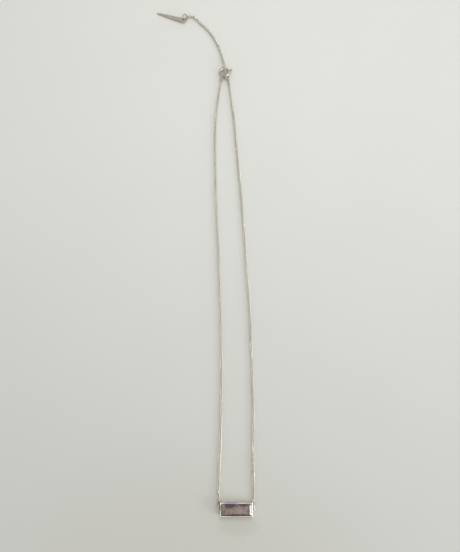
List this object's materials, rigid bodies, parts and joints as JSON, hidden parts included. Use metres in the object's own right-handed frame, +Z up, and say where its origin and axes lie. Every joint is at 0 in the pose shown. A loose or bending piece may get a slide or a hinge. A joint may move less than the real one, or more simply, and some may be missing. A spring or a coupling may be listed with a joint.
{
  "type": "stone pendant necklace",
  "caption": "Necklace laid out flat: a long step-cut stone in a silver box setting, a fine cable chain, a spring ring clasp and an extender chain ending in a slim spike charm.",
  "frame": {"origin": "middle of the setting's flat back, on the surface that the necklace lies on", "axes": "+X along the bar to the wearer's left, which is the right side seen from above, +Y from the pendant towards the clasp, +Z up out of the stone's table"},
  "size_m": [0.0521, 0.2612, 0.0033],
  "materials": {
    "silver": "polished",
    "stone": "polished, faceted"
  },
  "bodies": {
    "necklace": {"setting": "silver", "stone": "stone", "ring_left": "silver", "ring_right": "silver", "chain_left": "silver", "chain_right": "silver", "ring_left_top": "silver", "ring_right_top": "silver", "clasp_case": "silver", "hook_ring": "silver", "extender_chain": "silver", "ring_spike": "silver", "spike": "silver"},
    "trigger": {"clasp_trigger": "silver"}
  },
  "joints": [
    {"name": "trigger_slide", "type": "hinge", "parent": "necklace", "child": "trigger", "pos_m": [-0.0059, 0.2216, 0.00094], "axis": [-0.0648, 0.1273, 0.9897], "range_deg": [-45, 0], "stiffness_Nm_per_rad": 0.005}
  ]
}
